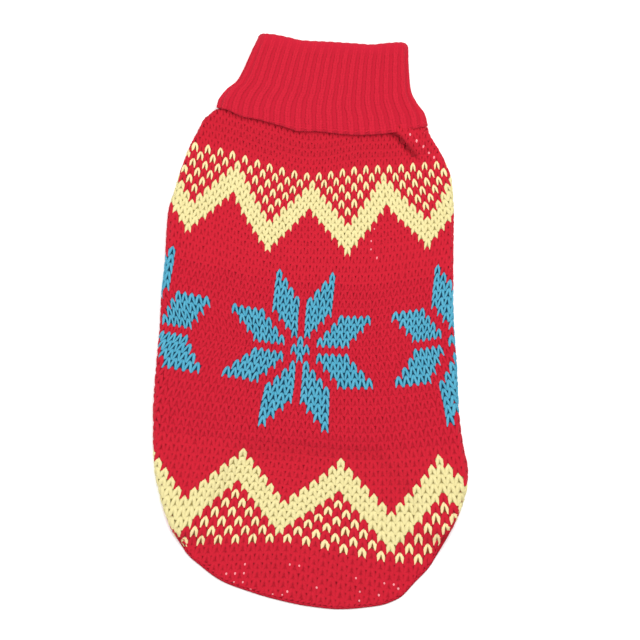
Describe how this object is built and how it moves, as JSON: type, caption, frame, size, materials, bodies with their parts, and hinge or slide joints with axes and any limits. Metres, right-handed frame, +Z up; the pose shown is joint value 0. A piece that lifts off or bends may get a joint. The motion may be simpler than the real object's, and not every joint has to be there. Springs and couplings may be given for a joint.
{
  "type": "dog sweater",
  "caption": "Knitted pet sweater with a turned-down ribbed collar, leg openings in the belly and a rounded tail, laid flat.",
  "frame": {"origin": "on the floor, under the middle of the garment's bounding box", "axes": "+Y along the back towards the collar, +X to the right seen from above, +Z up through the layers of cloth"},
  "size_m": [0.1827, 0.3329, 0.013],
  "materials": {
    "red_wool": "matte knitted wool with a soft nap",
    "red_rib": "matte one-by-one rib knit"
  },
  "bodies": {
    "root": {"back_panel": "red_wool", "belly_panel": "red_wool", "collar": "red_rib"}
  },
  "joints": []
}
